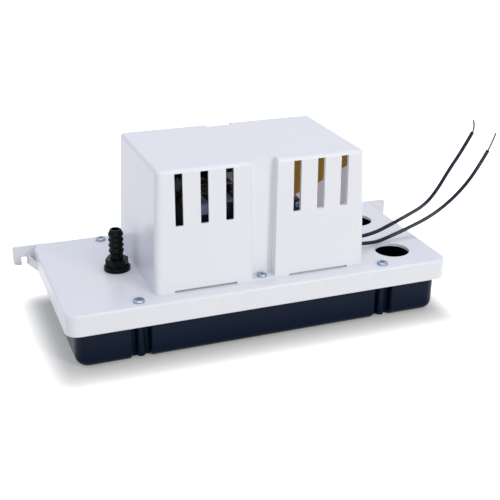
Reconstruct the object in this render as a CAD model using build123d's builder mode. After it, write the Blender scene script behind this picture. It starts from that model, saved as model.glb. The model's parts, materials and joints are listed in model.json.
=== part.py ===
from build123d import *
from math import atan2, cos, degrees, hypot, pi, radians, sin, sqrt, tan
import os

# Low-profile condensate pump: a half-gallon tank, its cover with the hanging ears, a shaded-pole
# motor that drives a centrifugal pump down in the water, a float switch and a check valve.
# Frame: X along the tank, +Y towards the wall it hangs on, +Z up, millimetres.
# The origin is on the floor under the middle of the tank cover.

os.makedirs("parts", exist_ok=True)

STAND = (Align.CENTER, Align.CENTER, Align.MIN)
HANG = (Align.CENTER, Align.CENTER, Align.MAX)

# ---------------------------------------------------------------- driving dimensions
# Clearances
shaft_fit = 0.05          # radial, between a round piece and the hole it runs or sits in
seat_gap = 0.3            # between pieces of two bodies that come close without touching

# Tank
tank_end_inset = 7.0      # from the cover's end to the tank's
tank_side_inset = 4.25
tank_height = 44.0
tank_wall = 2.5
tank_corner = 10.0
tank_foot = 8.0           # radius of the edge round the floor
tank_draft = 1.0          # degrees
rim_thickness = 3.0
rim_play = 0.6            # between the tank's rim and the skirt round it
flute_width = 14.5
flute_depth = 7.5
flute_lip = 1.8
tank_boss_radius = 3.3

# Tank cover
cover_length = 314.0
cover_width = 145.5
cover_wall = 2.5
tank_length = cover_length - 2 * tank_end_inset
tank_width = cover_width - 2 * tank_side_inset
cover_skirt = 16.5
cover_corner = 10.0
cover_edge = 1.5
inlet_radius = 14.3
inlet_front = (122.3, -40.0)
inlet_rear = (124.4, 31.8)

# Hanging ears
ear_reach = 174.0
ear_plate = 3.0
ear_arm = 9.0             # height of the arm above the screw slot
ear_drop = 16.0           # from the top of the cover to the foot of the outer leg
ear_leg = 6.6
ear_slot = 4.4            # slot width, for a No. 8 wall screw
ear_brace_run = 22.0      # how far forward the diagonal brace reaches

# Screws: head radius, head height, shank radius, length under the head
tank_screw = (4.4, 2.2, 1.9, 14.0)
tank_screw_x = 101.0
tank_screw_inset = 9.35   # from the cover's side
tank_screw_y = cover_width / 2 - tank_screw_inset
motor_cover_screw = (4.0, 2.0, 1.6, 10.0)
screw_head_gap = 0.4      # from a screw's head to the wall behind it
bracket_screw = (3.2, 1.8, 1.6, 6.0)
switch_screw = (2.8, 2.2, 1.45, 26.0)
under_boss_radius = 3.4

# Motor cover
hood_length = 174.0
hood_width = 112.0
hood_top_length = 166.5
hood_top_width = 109.0
hood_height = 95.9
hood_offset = -2.0        # the hood sits this far forward of the cover's middle
hood_wall = 2.5
hood_corner = 5.0
hood_edge = 3.0
channel_floor = 49.7      # front channel's floor, from the origin
channel_rear_floor = 45.3
channel_foot_half = 9.6
channel_top_half = 11.0
channel_tab = 1.4         # thickness of the tab under the channel's screw
vent_width = 6.1
vent_height = 40.3
vent_below_top = 2.7
vent_corner = 0.8
vent_first = 27.2
vent_pitch = 19.7
vent_count = 3
sill_length = 50.0
sill_height = 1.4
sill_middle = 46.6
cord_inlet_radius = 4.5
cord_inlet_y = 22.0
cord_inlet_rise = 14.0    # above the tank cover

# Motor
motor_x = -34.0
motor_y = -2.0
shaft_radius = 3.0
stack_length = 66.0
stack_depth = 64.0
stack_thickness = 20.0
stack_rise = 37.5         # underside of the laminations above the tank cover
leg_depth = 12.0          # the core leg that carries the coil
window_length = 42.0
window_depth = 8.0
rotor_radius = 16.0
air_gap = 0.45
rotor_overhang = 2.0
end_ring_height = 2.5
bolt_radius = 2.0
bolt_reach = 18.0         # length of the bolt below the lower bracket
post_pilot = 24.0         # depth of the hole for it
bolt_spread = 24.0        # from the shaft to each through bolt
bracket_sheet = 2.0
bracket_width = 16.0
bracket_lift = 9.0
bracket_inner = 16.5
bearing_radius = 6.0
bearing_length = 8.0
post_radius = 4.4
fan_radius = 27.0
fan_height = 11.0
fan_hub = 7.0
blade_chord = 15.0
blade_thickness = 1.4
fan_blades = 6
fan_rise = 72.5           # underside of the fan above the tank cover
coil_build = 4.0          # thickness of the winding round its leg
coil_flange = 1.6
coil_tape = 0.6
shade_wire = 2.0

# Pump
volute_floor = 8.0
volute_ceiling = 20.0
pump_wall = 2.0
volute_start = 21.0
volute_step = 1.7         # growth of the spiral in each quarter turn
duct_length = 36.0
cutwater = 5.0            # solid end of the duct round its socket
column_radius = 15.0
column_window = 12.0
flange_radius = 22.0
column_screw = (3.2, 1.8, 1.3, 8.0)
volute_screw = (2.8, 1.6, 1.2, 8.0)
lug_radius = 4.2
lug_circle = 31.5
impeller_radius = 19.0
impeller_plate = 1.6
impeller_bore_depth = 12.0
vane_height = 6.5
vane_count = 6
vane_thickness = 1.4
eye_radius = 7.0
strainer_feet = 4
tube_radius = 4.4
tube_bore = 3.2
tube_bend = 6.0
socket_depth = 4.0
column_screw_circle = 19.0
column_screw_angles = (90, 210, 330)

# Check valve and hose barb
valve_y = 0.0
valve_radius = 9.5
valve_bore = 7.5
valve_bottom = 20.0
valve_flange = 12.5
seat_z = 26.0
seat_ring = 1.6
ball_radius = 4.6
ball_lift = 3.0
barb_flange_radius = 10.5
barb_gap = 4.5            # between the flange and the foot of the motor cover
valve_x = -(hood_length / 2 + barb_flange_radius + barb_gap)
barb_flange_height = 3.5
barb_hex = 16.0           # across flats
barb_hex_height = 6.0
barb_neck = 5.2
barb_ring = 6.0
barb_ring_land = 1.0      # flat crest of each ring
barb_bore = 3.4
barb_height = 34.0        # tip above the tank cover
barb_rings = 4
barb_ring_pitch = 4.6
barb_tip = 4.3            # radius at the very top
barb_tip_height = 3.4
barb_notch = 2.6          # width and depth of the water notches at the spigot's foot

# Float and switches
rod_x = 60.0
rod_radius = 1.5
float_length = 60.0
float_width = 46.0
float_height = 20.0
float_bottom = 5.0
float_travel = 12.0
float_edge = 4.0
guide_radius = 4.0
guide_flange = 6.5
guide_flange_height = 1.6
clip_radius = 4.2
clip_height = 1.2
pivot_x = 20.0
pivot_rise = 36.0         # lever pivot above the tank cover
pin_radius = 1.2
lever_sheet = 1.2
lever_flange = 11.0       # length of the lever's side flanges
lever_taper_end = 16.0    # where the blade reaches its narrow part
lever_root = 2.6          # the blade starts this far from the pin
lever_ear = 2.9
lever_ear_sheet = 1.0
lever_reach = 44.0
lever_waist = 4.5
plunger_gap = 0.15
plunger_offset = 5.0      # plungers act this far from the pivot
fork_slack = 0.35
fork_depth = 10.0
switch_length = 27.8
switch_height = 16.0
switch_depth = 10.3
switch_x = 24.0           # middle of the switch bodies
switch_hole = 1.55
switch_hole_pitch = 22.2
switch_hole_step = 4.0    # the two holes lie this far above and below the middle
barrier = 0.8
plunger_radius = 1.3
bracket_x = (9.0, 39.0)   # rear upright of the switch bracket
apron_x = (15.0, 78.5)    # front apron of the switch bracket
apron_y = -43.0
bracket_gauge = 1.5
bracket_fold = 2.3
bracket_foot_reach = 13.0
foot_screw_inset = 6.0
bracket_rise = 88.5       # top of the bracket above the tank cover
apron_steps = ((0.0, 59.5), (24.0, 63.0), (64.0, 82.0))  # lower edge: along it, above the cover

# Leads
lead_radius = 1.6
strand_radius = 0.8
lead_y = -29.5
lead_lower_rise = 4.9     # above the tank cover
lead_upper_rise = 11.3
bushing_half = 3.6
bushing_flange = 0.8
lead_exit_reach = 3.0     # the bushing stands this far out of the motor cover's end
lead_exit_x = hood_length / 2 + lead_exit_reach

# ---------------------------------------------------------------- levels that follow
deck = tank_height + cover_wall                 # top of the tank cover
ceiling = deck + hood_height                    # top of the motor cover
skirt_foot = deck - cover_skirt
stack_z = deck + stack_rise
stack_top = stack_z + stack_thickness
post_top = stack_z - bracket_sheet
pivot_z = deck + pivot_rise
half_tilt = degrees(atan2(float_travel / 2, rod_x - pivot_x))
lever_ratio = plunger_offset / (rod_x - pivot_x)
boss_drop = tank_screw[3] - cover_wall
switch_front = apron_y + bracket_gauge + switch_screw[1] + 0.4
switch_y = switch_front + switch_depth + barrier / 2    # middle of the two switches, and the rod
upright_y = switch_front + 2 * switch_depth + barrier   # front face of the bracket's upright


def pan_screw(head_radius, head_height, shank_radius, length):
    """A pan-head screw standing at the origin, its head on z = 0 and its shank below."""
    with BuildPart() as screw:
        Cylinder(head_radius, head_height, align=STAND)
        fillet(screw.edges().group_by(Axis.Z)[-1], head_height * 0.55)
        for turn in (0, 90):
            with Locations(Location((0, 0, head_height), (0, 0, turn))):
                Box(head_radius * 1.1, head_radius * 0.26, head_height, mode=Mode.SUBTRACT)
        Cylinder(shank_radius, length, align=HANG)
    return screw.part


def fit_hole(radius):
    """The radius of a hole that a round piece of this radius runs or sits in."""
    return radius + shaft_fit


# ---------------------------------------------------------------- tank
tank_corners = [(sx * tank_screw_x, sy * tank_screw_y) for sx in (-1, 1) for sy in (-1, 1)]
flute_middle = tank_width / 2 - flute_depth / 2

with BuildPart() as tank_inside:
    with BuildSketch(Plane.XY.offset(tank_wall)):
        RectangleRounded(tank_length - 2 * tank_wall, tank_width - 2 * tank_wall, tank_corner - tank_wall)
    extrude(amount=tank_height - tank_wall, taper=-tank_draft)
    fillet(tank_inside.edges().group_by(Axis.Z)[0], tank_foot - tank_wall)
    with BuildSketch():
        with Locations(*[(x, sy * flute_middle) for x in (-tank_screw_x, tank_screw_x) for sy in (-1, 1)]):
            RectangleRounded(flute_width + 2 * tank_wall, flute_depth + 2 * tank_wall, 2.4)
    extrude(amount=tank_height, mode=Mode.SUBTRACT)

rim_length = cover_length - 2 * (cover_wall + rim_play)
rim_width = cover_width - 2 * (cover_wall + rim_play)

with BuildPart() as tank:
    with BuildSketch():
        RectangleRounded(tank_length, tank_width, tank_corner)
    extrude(amount=tank_height, taper=-tank_draft)
    fillet(tank.edges().group_by(Axis.Z)[0], tank_foot)
    # screw flutes, open at the front and rear and down to the floor
    with BuildSketch():
        with Locations(*[(x, sy * tank_width / 2) for x in (-tank_screw_x, tank_screw_x) for sy in (-1, 1)]):
            RectangleRounded(flute_width, 2 * flute_depth, 2.0)
    extrude(amount=tank_height, mode=Mode.SUBTRACT)
    lips = tank.edges().filter_by(
        lambda e: e.length > tank_height * 0.6
        and abs(abs(e.center().X) - tank_screw_x) < flute_width / 2 + 0.5
        and abs(e.center().Y) > tank_width / 2 - 0.5)
    fillet(lips, flute_lip)
    # rim that the cover sits on
    with BuildSketch(Plane.XY.offset(tank_height - rim_thickness)):
        RectangleRounded(rim_length, rim_width, cover_corner - cover_wall)
    extrude(amount=rim_thickness)
    with Locations(*[(x, y, tank_wall) for x, y in tank_corners]):
        Cylinder(tank_boss_radius, tank_height - tank_wall, align=STAND)
    add(tank_inside.part, mode=Mode.SUBTRACT)
    with Locations(*[(x, y, tank_height) for x, y in tank_corners]):
        Cylinder(fit_hole(tank_screw[2]), boss_drop + 1, align=HANG, mode=Mode.SUBTRACT)
tank.part.label = "tank"
export_step(tank.part, "parts/tank.step")

# ---------------------------------------------------------------- tank cover
ear_foot = deck - ear_drop
ear_slot_outer = ear_reach - ear_leg
ear_slot_inner = ear_slot_outer - ear_slot
ear_root = cover_length / 2 - cover_corner
motor_posts = [(motor_x - bolt_spread, motor_y), (motor_x + bolt_spread, motor_y)]
hood_screws = [(0, -channel_floor - motor_cover_screw[0] - screw_head_gap),
               (0, channel_rear_floor + motor_cover_screw[0] + screw_head_gap)]
column_screws = [(motor_x + column_screw_circle * cos(radians(a)),
                  motor_y + column_screw_circle * sin(radians(a))) for a in column_screw_angles]
bracket_foot = [(x, upright_y + bracket_gauge + bracket_foot_reach / 2)
                for x in (bracket_x[0] + foot_screw_inset, bracket_x[1] - foot_screw_inset)]

with BuildPart() as tank_cover:
    with BuildSketch(Plane.XY.offset(skirt_foot)):
        RectangleRounded(cover_length, cover_width, cover_corner)
    extrude(amount=cover_skirt)
    fillet(tank_cover.edges().group_by(Axis.Z)[-1], cover_edge)
    with BuildSketch(Plane.XY.offset(skirt_foot)):
        RectangleRounded(cover_length - 2 * cover_wall, cover_width - 2 * cover_wall,
                         cover_corner - cover_wall)
    extrude(amount=cover_skirt - cover_wall, mode=Mode.SUBTRACT)
    # one ear in the plane of the rear skirt, with its slot open at the foot, and its mirror image
    with BuildSketch(Plane.XZ.offset(-cover_width / 2)) as ear_profile:
        with BuildLine():
            Polyline((ear_root, deck), (ear_reach, deck), (ear_reach, ear_foot), (ear_slot_outer, ear_foot),
                     (ear_slot_outer, deck - ear_arm), (ear_slot_inner, deck - ear_arm),
                     (ear_slot_inner, skirt_foot + 1), (ear_slot_inner - 2, skirt_foot),
                     (ear_root, skirt_foot),
                     close=True)
        make_face()
        fillet(ear_profile.vertices().sort_by(Axis.Y)[:3].filter_by(lambda v: v.X > ear_slot_inner + 1), 3.2)
        fillet(ear_profile.vertices().filter_by(lambda v: v.X > ear_reach - 1 and v.Y > deck - 1), 1.5)
    extrude(amount=ear_plate)
    # diagonal brace from the slot's inner side forward to the end skirt
    with BuildSketch(Plane.XY.offset(skirt_foot)):
        with BuildLine():
            Polyline((ear_slot_inner, cover_width / 2 - 0.5), (ear_slot_inner - 2.4, cover_width / 2 - 0.5),
                     (cover_length / 2 - 1, cover_width / 2 - ear_brace_run + 3),
                     (cover_length / 2 - 1, cover_width / 2 - ear_brace_run), close=True)
        make_face()
    extrude(amount=cover_skirt - ear_arm)
    mirror(about=Plane.YZ)
    # posts for the motor, bosses for the hood's screws and for the wiring
    with Locations(*[(x, y, deck) for x, y in motor_posts]):
        Cylinder(post_radius, post_top - deck, align=STAND)
    with Locations(*[(x, y, deck - cover_wall) for x, y in hood_screws]):
        Cylinder(under_boss_radius, motor_cover_screw[3] - cover_wall, align=HANG)
    with Locations(*[(x, y, deck - cover_wall) for x, y in bracket_foot]):
        Cylinder(under_boss_radius, bracket_screw[3] - cover_wall, align=HANG)
    # holes
    with Locations(*[(x, y, deck) for x, y in (inlet_front, inlet_rear)]):
        Cylinder(inlet_radius, 2 * cover_wall + 1, mode=Mode.SUBTRACT)
    with Locations(*[(x, y, deck) for x, y in tank_corners]):
        Cylinder(fit_hole(tank_screw[2]) + 0.2, 2 * cover_wall + 1, mode=Mode.SUBTRACT)
    with Locations(*[(x, y, deck) for x, y in column_screws]):
        Cylinder(fit_hole(column_screw[2]) + 0.2, 2 * cover_wall + 1, mode=Mode.SUBTRACT)
    with Locations((motor_x, motor_y, deck)):
        Cylinder(column_radius - pump_wall, 2 * cover_wall + 1, mode=Mode.SUBTRACT)
    with Locations((valve_x, valve_y, deck)):
        Cylinder(fit_hole(valve_bore) + 0.1, 2 * cover_wall + 1, mode=Mode.SUBTRACT)
    with Locations((rod_x, switch_y, deck)):
        Cylinder(fit_hole(guide_radius), 2 * cover_wall + 1, mode=Mode.SUBTRACT)
    with Locations(*[(x, y, post_top) for x, y in motor_posts]):
        Cylinder(fit_hole(bolt_radius), post_pilot, align=HANG, mode=Mode.SUBTRACT)
    with Locations(*[(x, y, deck) for x, y in hood_screws + bracket_foot]):
        Cylinder(fit_hole(motor_cover_screw[2]) + 0.1, motor_cover_screw[3], align=HANG, mode=Mode.SUBTRACT)
tank_cover.part.label = "tank_cover"
export_step(tank_cover.part, "parts/tank_cover.step")


# ---------------------------------------------------------------- motor cover
def hood_block(inset):
    """The drafted block of the motor cover with its walls and its top moved in by inset."""
    share = 1 - inset / hood_height
    with BuildPart() as block:
        with BuildSketch(Plane.XY.offset(deck)):
            with Locations((0, hood_offset)):
                RectangleRounded(hood_length - 2 * inset, hood_width - 2 * inset, hood_corner - inset / 2)
        with BuildSketch(Plane.XY.offset(ceiling - inset)):
            with Locations((0, hood_offset)):
                RectangleRounded(hood_length + (hood_top_length - hood_length) * share - 2 * inset,
                                 hood_width + (hood_top_width - hood_width) * share - 2 * inset,
                                 hood_corner - inset / 2)
        loft()
    return block.part


def hood_channel(side, floor, grow, foot):
    """The recess down the middle of the hood's front (side -1) or rear (side 1), grown by grow."""
    with BuildPart() as recess:
        with BuildSketch(Plane.XZ.offset(-side * (floor - grow))):
            with BuildLine():
                Polyline((-channel_foot_half - grow, foot), (channel_foot_half + grow, foot),
                         (channel_top_half + grow, ceiling + 1), (-channel_top_half - grow, ceiling + 1),
                         close=True)
            make_face()
        extrude(amount=-side * hood_width / 4)
    return recess.part


channels = ((-1, channel_floor), (1, channel_rear_floor))
vent_places = [s * (vent_first + k * vent_pitch) for s in (-1, 1) for k in range(vent_count)]
vent_foot = ceiling - vent_below_top - vent_height
lead_lower_z = deck + lead_lower_rise
lead_upper_z = deck + lead_upper_rise
lead_middle_z = (lead_lower_z + lead_upper_z) / 2
lead_spread = lead_upper_z - lead_lower_z
cord_inlet_z = deck + cord_inlet_rise

with BuildPart() as hood_inside:
    add(hood_block(hood_wall))
    for side, floor in channels:
        add(hood_channel(side, floor, hood_wall, deck - 1), mode=Mode.SUBTRACT)

with BuildPart() as motor_cover:
    add(hood_block(0))
    fillet(motor_cover.edges().group_by(Axis.Z)[-1], hood_edge)
    for side, floor in channels:
        add(hood_channel(side, floor, 0, deck + channel_tab), mode=Mode.SUBTRACT)
    add(hood_inside.part, mode=Mode.SUBTRACT)
    # vents and the low slots over the tank cover, through the front and rear walls at once
    for x in vent_places:
        with Locations((x, 0, vent_foot + vent_height / 2)):
            Box(vent_width, 2 * hood_width, vent_height, mode=Mode.SUBTRACT)
    for end in (-1, 1):
        with Locations((end * sill_middle, 0, deck + sill_height / 2)):
            Box(sill_length, 2 * hood_width, sill_height, mode=Mode.SUBTRACT)
    fillet([edge for edge in motor_cover.edges().filter_by(Axis.Y)
            if abs(edge.center().Z - vent_foot) < vent_corner / 2], vent_corner)
    # hole for the lead bushing and for the power cord in the right end wall
    with BuildSketch(Plane.YZ.offset(hood_length / 2 - 8)):
        with Locations((lead_y, lead_middle_z)):
            SlotCenterToCenter(lead_spread, 2 * fit_hole(bushing_half), rotation=90)
        with Locations((cord_inlet_y, cord_inlet_z)):
            Circle(cord_inlet_radius)
    extrude(amount=16, mode=Mode.SUBTRACT)
    with Locations(*[(x, y, deck + channel_tab) for x, y in hood_screws]):
        Cylinder(fit_hole(motor_cover_screw[2]) + 0.2, 2 * channel_tab + 1, mode=Mode.SUBTRACT)
motor_cover.part.label = "motor_cover"
export_step(motor_cover.part, "parts/motor_cover.step")

# ---------------------------------------------------------------- cover screws
with BuildPart() as tank_cover_screws:
    with Locations(*[(x, y, deck) for x, y in tank_corners]):
        add(pan_screw(*tank_screw))
tank_cover_screws.part.label = "tank_cover_screws"
export_step(tank_cover_screws.part, "parts/tank_cover_screws.step")

with BuildPart() as motor_cover_screws:
    with Locations(*[(x, y, deck + channel_tab) for x, y in hood_screws]):
        add(pan_screw(*motor_cover_screw))
motor_cover_screws.part.label = "motor_cover_screws"
export_step(motor_cover_screws.part, "parts/motor_cover_screws.step")

# ---------------------------------------------------------------- motor: laminations
window_rear = motor_y - rotor_radius - air_gap - 1.6
window_front = window_rear - window_depth
leg_front = window_front - leg_depth
stack_middle_y = leg_front + stack_depth / 2
shade_inner = rotor_radius + air_gap + 1.0
shade_outer = shade_inner + 9.0
shade_angles = (40, 140)

with BuildPart() as motor_laminations:
    with BuildSketch(Plane.XY.offset(stack_z)) as plan:
        with Locations((motor_x, stack_middle_y)):
            Rectangle(stack_length, stack_depth)
        fillet(plan.vertices(), 3.0)
        with Locations((motor_x, (window_front + window_rear) / 2)):
            Rectangle(window_length, window_depth, mode=Mode.SUBTRACT)
        with Locations((motor_x, motor_y)):
            Circle(rotor_radius + air_gap, mode=Mode.SUBTRACT)
        with Locations(*motor_posts):
            Circle(fit_hole(bolt_radius), mode=Mode.SUBTRACT)
        for angle in shade_angles:
            for reach in (shade_inner + shade_wire / 2, shade_outer - shade_wire / 2):
                with Locations(Location((motor_x + reach * cos(radians(angle)),
                                         motor_y + reach * sin(radians(angle)), 0), (0, 0, angle))):
                    Rectangle(shade_wire + 2 * shaft_fit, shade_wire + 2 * shaft_fit, mode=Mode.SUBTRACT)
    extrude(amount=stack_thickness)
motor_laminations.part.label = "motor_laminations"
export_step(motor_laminations.part, "parts/motor_laminations.step")

# shading rings: closed copper loops round one tip of each pole
with BuildPart() as shading_rings:
    for angle in shade_angles:
        radial = Vector(cos(radians(angle)), sin(radians(angle)), 0)
        across = Vector(-radial.Y, radial.X, 0)
        middle = Vector(motor_x, motor_y, stack_z + stack_thickness / 2)
        middle += radial * (shade_inner + shade_outer) / 2
        with BuildSketch(Plane(origin=middle, x_dir=radial, z_dir=across)):
            Rectangle(shade_outer - shade_inner, stack_thickness + 2 * shade_wire)
            Rectangle(shade_outer - shade_inner - 2 * shade_wire, stack_thickness, mode=Mode.SUBTRACT)
        extrude(amount=shade_wire / 2, both=True)
shading_rings.part.label = "shading_rings"
export_step(shading_rings.part, "parts/shading_rings.step")

# ---------------------------------------------------------------- motor: coil on the front leg
coil_length = window_length - 1.0
leg_y = window_front - leg_depth / 2
bobbin_wall = 1.2


def leg_loop(grow_inner, grow_outer, length, corner):
    """A rectangular tube round the front leg, between two distances from the leg's faces."""
    with BuildPart() as loop:
        with BuildSketch(Plane(origin=(motor_x - length / 2, leg_y, stack_z + stack_thickness / 2),
                               x_dir=(0, 1, 0), z_dir=(1, 0, 0))):
            RectangleRounded(leg_depth + 2 * grow_outer, stack_thickness + 2 * grow_outer, corner)
            Rectangle(leg_depth + 2 * grow_inner, stack_thickness + 2 * grow_inner, mode=Mode.SUBTRACT)
        extrude(amount=length)
    return loop.part


winding_length = coil_length - 2 * coil_flange - 0.2
flange_grow = bobbin_wall + coil_build + coil_tape
with BuildPart() as coil_bobbin:
    add(leg_loop(shaft_fit, bobbin_wall, coil_length, 0.5))
    for side in (-1, 1):
        with Locations((side * (coil_length - coil_flange) / 2, 0, 0)):
            add(leg_loop(shaft_fit, flange_grow + 0.4, coil_flange, 3.0))
coil_bobbin.part.label = "coil_bobbin"
export_step(coil_bobbin.part, "parts/coil_bobbin.step")

with BuildPart() as coil_winding:
    add(leg_loop(bobbin_wall + shaft_fit, bobbin_wall + coil_build, winding_length, 3.0))
coil_winding.part.label = "coil_winding"
export_step(coil_winding.part, "parts/coil_winding.step")

with BuildPart() as coil_wrap:
    with BuildSketch(Plane(origin=(motor_x - winding_length / 2, leg_y, stack_z + stack_thickness / 2),
                           x_dir=(0, 1, 0), z_dir=(1, 0, 0))):
        RectangleRounded(leg_depth + 2 * flange_grow, stack_thickness + 2 * flange_grow, 3.0 + coil_tape)
        RectangleRounded(leg_depth + 2 * (flange_grow - coil_tape + shaft_fit),
                         stack_thickness + 2 * (flange_grow - coil_tape + shaft_fit),
                         3.0 + shaft_fit, mode=Mode.SUBTRACT)
    extrude(amount=winding_length)
coil_wrap.part.label = "coil_wrap"
export_step(coil_wrap.part, "parts/coil_wrap.step")

# ---------------------------------------------------------------- motor: brackets and bearings
bracket_outer = bolt_spread + 7.0
bracket_rise_out = bracket_inner + 2.0
bracket_rise_in = bracket_inner - 2.0
bridge = bracket_lift + bracket_sheet
slope = (bracket_rise_out - bracket_rise_in) / bracket_lift * bracket_sheet


def bearing_bracket(face, up):
    """A bridge of strap steel with its feet on a face of the laminations; up is 1 above, -1 below."""
    with BuildPart() as strap:
        with BuildSketch(Plane.XZ.offset(-motor_y)):
            with BuildLine():
                half = [(bracket_rise_in, bracket_lift), (bracket_rise_out, 0), (bracket_outer, 0),
                        (bracket_outer, bracket_sheet), (bracket_rise_out + slope, bracket_sheet),
                        (bracket_rise_in + slope, bridge)]
                right = [(motor_x + x, face + up * z) for x, z in half]
                left = [(motor_x - x, face + up * z) for x, z in reversed(half)]
                Polyline(*right, *left, close=True)
            make_face()
        extrude(amount=bracket_width / 2, both=True)
        fillet(strap.edges().filter_by(Axis.Z).group_by(Axis.X)[0], 4.0)
        fillet(strap.edges().filter_by(Axis.Z).group_by(Axis.X)[-1], 4.0)
        with Locations((motor_x, motor_y, face)):
            Cylinder(fit_hole(bearing_radius), 4 * bridge, mode=Mode.SUBTRACT)
        with Locations(*[(x, y, face) for x, y in motor_posts]):
            Cylinder(fit_hole(bolt_radius), 4 * bracket_sheet, mode=Mode.SUBTRACT)
    return strap.part


upper_bracket = bearing_bracket(stack_top, 1)
upper_bracket.label = "upper_bearing_bracket"
export_step(upper_bracket, "parts/upper_bearing_bracket.step")
lower_bracket = bearing_bracket(stack_z, -1)
lower_bracket.label = "lower_bearing_bracket"
export_step(lower_bracket, "parts/lower_bearing_bracket.step")

bearing_levels = (stack_top + bridge - bracket_sheet / 2, stack_z - bridge + bracket_sheet / 2)
with BuildPart() as motor_bearings:
    with Locations(*[(motor_x, motor_y, z) for z in bearing_levels]):
        Cylinder(bearing_radius, bearing_length)
        Cylinder(fit_hole(shaft_radius), bearing_length, mode=Mode.SUBTRACT)
    chamfer(motor_bearings.edges().filter_by(GeomType.CIRCLE).filter_by(
        lambda e: e.radius > (bearing_radius + shaft_radius) / 2), 0.5)
motor_bearings.part.label = "motor_bearings"
export_step(motor_bearings.part, "parts/motor_bearings.step")

bolt_length = 2 * bracket_sheet + stack_thickness + bolt_reach
with BuildPart() as motor_bolts:
    with Locations(*[(x, y, stack_top + bracket_sheet) for x, y in motor_posts]):
        Cylinder(bolt_radius, bolt_length, align=HANG)
        with BuildSketch(Plane.XY.offset(stack_top + bracket_sheet)):
            with Locations(*motor_posts):
                RegularPolygon(3.5, 6, major_radius=False)
        extrude(amount=2.6)
motor_bolts.part.label = "motor_bolts"
export_step(motor_bolts.part, "parts/motor_bolts.step")

# ---------------------------------------------------------------- motor: what turns
impeller_bottom = volute_floor + 1.0
vane_top = impeller_bottom + vane_height
shaft_bottom = impeller_bottom + 1.0
fan_z = deck + fan_rise
shaft_top = fan_z + fan_height + 0.8

with BuildPart() as motor_shaft:
    with Locations((motor_x, motor_y, shaft_bottom)):
        Cylinder(shaft_radius, shaft_top - shaft_bottom, align=STAND)
    chamfer(motor_shaft.edges().filter_by(GeomType.CIRCLE), 0.5)
motor_shaft.part.label = "motor_shaft"
export_step(motor_shaft.part, "parts/motor_shaft.step")

core_length = stack_thickness + 2 * rotor_overhang
core_middle = (motor_x, motor_y, stack_z + stack_thickness / 2)
with BuildPart() as rotor:
    with Locations(core_middle):
        Cylinder(rotor_radius, core_length)
        Cylinder(rotor_radius - 2.0, core_length + 2 * end_ring_height)
        Cylinder(rotor_radius - 6.0, core_length + 2 * end_ring_height + 1, mode=Mode.SUBTRACT)
        Cylinder(rotor_radius - 5.9, core_length)
        Cylinder(fit_hole(shaft_radius), core_length + 1, mode=Mode.SUBTRACT)
rotor.part.label = "rotor"
export_step(rotor.part, "parts/rotor.step")

blade_tilt = 38
with BuildPart() as cooling_fan:
    with Locations((motor_x, motor_y, fan_z)):
        Cylinder(fan_hub, fan_height, align=STAND)
    blade_middle = (fan_hub - 1 + fan_radius) / 2
    for k in range(fan_blades):
        turn = 360 / fan_blades * k
        spot = (motor_x + blade_middle * cos(radians(turn)), motor_y + blade_middle * sin(radians(turn)),
                fan_z + fan_height / 2)
        with Locations(Location(spot, (0, 0, turn)) * Location((0, 0, 0), (blade_tilt, 0, 0))):
            Box(fan_radius - fan_hub + 1, blade_chord, blade_thickness)
    with Locations((motor_x, motor_y, fan_z)):
        Cylinder(fan_radius, fan_height, align=STAND, mode=Mode.INTERSECT)
        Cylinder(fit_hole(shaft_radius), fan_height, align=STAND, mode=Mode.SUBTRACT)
    top_circles = cooling_fan.edges().filter_by(GeomType.CIRCLE).group_by(Axis.Z)[-1]
    chamfer(top_circles.sort_by(SortBy.RADIUS)[-1:], 0.5)
cooling_fan.part.label = "cooling_fan"
export_step(cooling_fan.part, "parts/cooling_fan.step")

with BuildPart() as water_slinger:
    with Locations((motor_x, motor_y, deck + 8.0)):
        Cylinder(9.5, 1.4, align=STAND)
        Cylinder(5.0, 4.0, align=STAND)
        Cylinder(fit_hole(shaft_radius), 4.0, align=STAND, mode=Mode.SUBTRACT)
water_slinger.part.label = "water_slinger"
export_step(water_slinger.part, "parts/water_slinger.step")

vane_start = eye_radius + 0.6
vane_end = impeller_radius - 0.3
with BuildSketch() as vane:
    with BuildLine():
        inner = (vane_start, 0)
        outer = (vane_end * cos(radians(50)), -vane_end * sin(radians(50)))
        bulge = (13.6 * cos(radians(14)), -13.6 * sin(radians(14)))
        ThreePointArc(inner, bulge, outer)
    trace(line_width=vane_thickness)

with BuildPart() as impeller:
    with BuildSketch(Plane.XY.offset(impeller_bottom)):
        with Locations((motor_x, motor_y)):
            with PolarLocations(0, vane_count):
                add(vane.sketch)
    extrude(amount=vane_height)
    with Locations((motor_x, motor_y, vane_top)):
        Cylinder(impeller_radius, impeller_plate, align=STAND)
    with Locations((motor_x, motor_y, impeller_bottom + 0.6)):
        Cylinder(shaft_radius + 2.6, vane_height + impeller_plate + 0.8, align=STAND)
    with Locations((motor_x, motor_y, shaft_bottom)):
        Cylinder(fit_hole(shaft_radius), impeller_bore_depth, align=STAND, mode=Mode.SUBTRACT)
impeller.part.label = "impeller"
export_step(impeller.part, "parts/impeller.step")

# ---------------------------------------------------------------- pump housing and its cover
duct_middle = volute_start + 2 * volute_step        # the duct's line, from the shaft
valve_distance = hypot(valve_x - motor_x, valve_y - motor_y)
valve_along = sqrt(valve_distance ** 2 - duct_middle ** 2)
pump_turn = atan2(valve_y - motor_y, valve_x - motor_x) - atan2(duct_middle, -valve_along)
pump_plane = Plane(origin=(motor_x, motor_y, 0), x_dir=(cos(pump_turn), sin(pump_turn), 0), z_dir=(0, 0, 1))
duct_z = (volute_floor + volute_ceiling) / 2
lug_angles = (40, 165, 285)
lug_places = [(lug_circle * cos(radians(a)), lug_circle * sin(radians(a))) for a in lug_angles]


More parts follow.
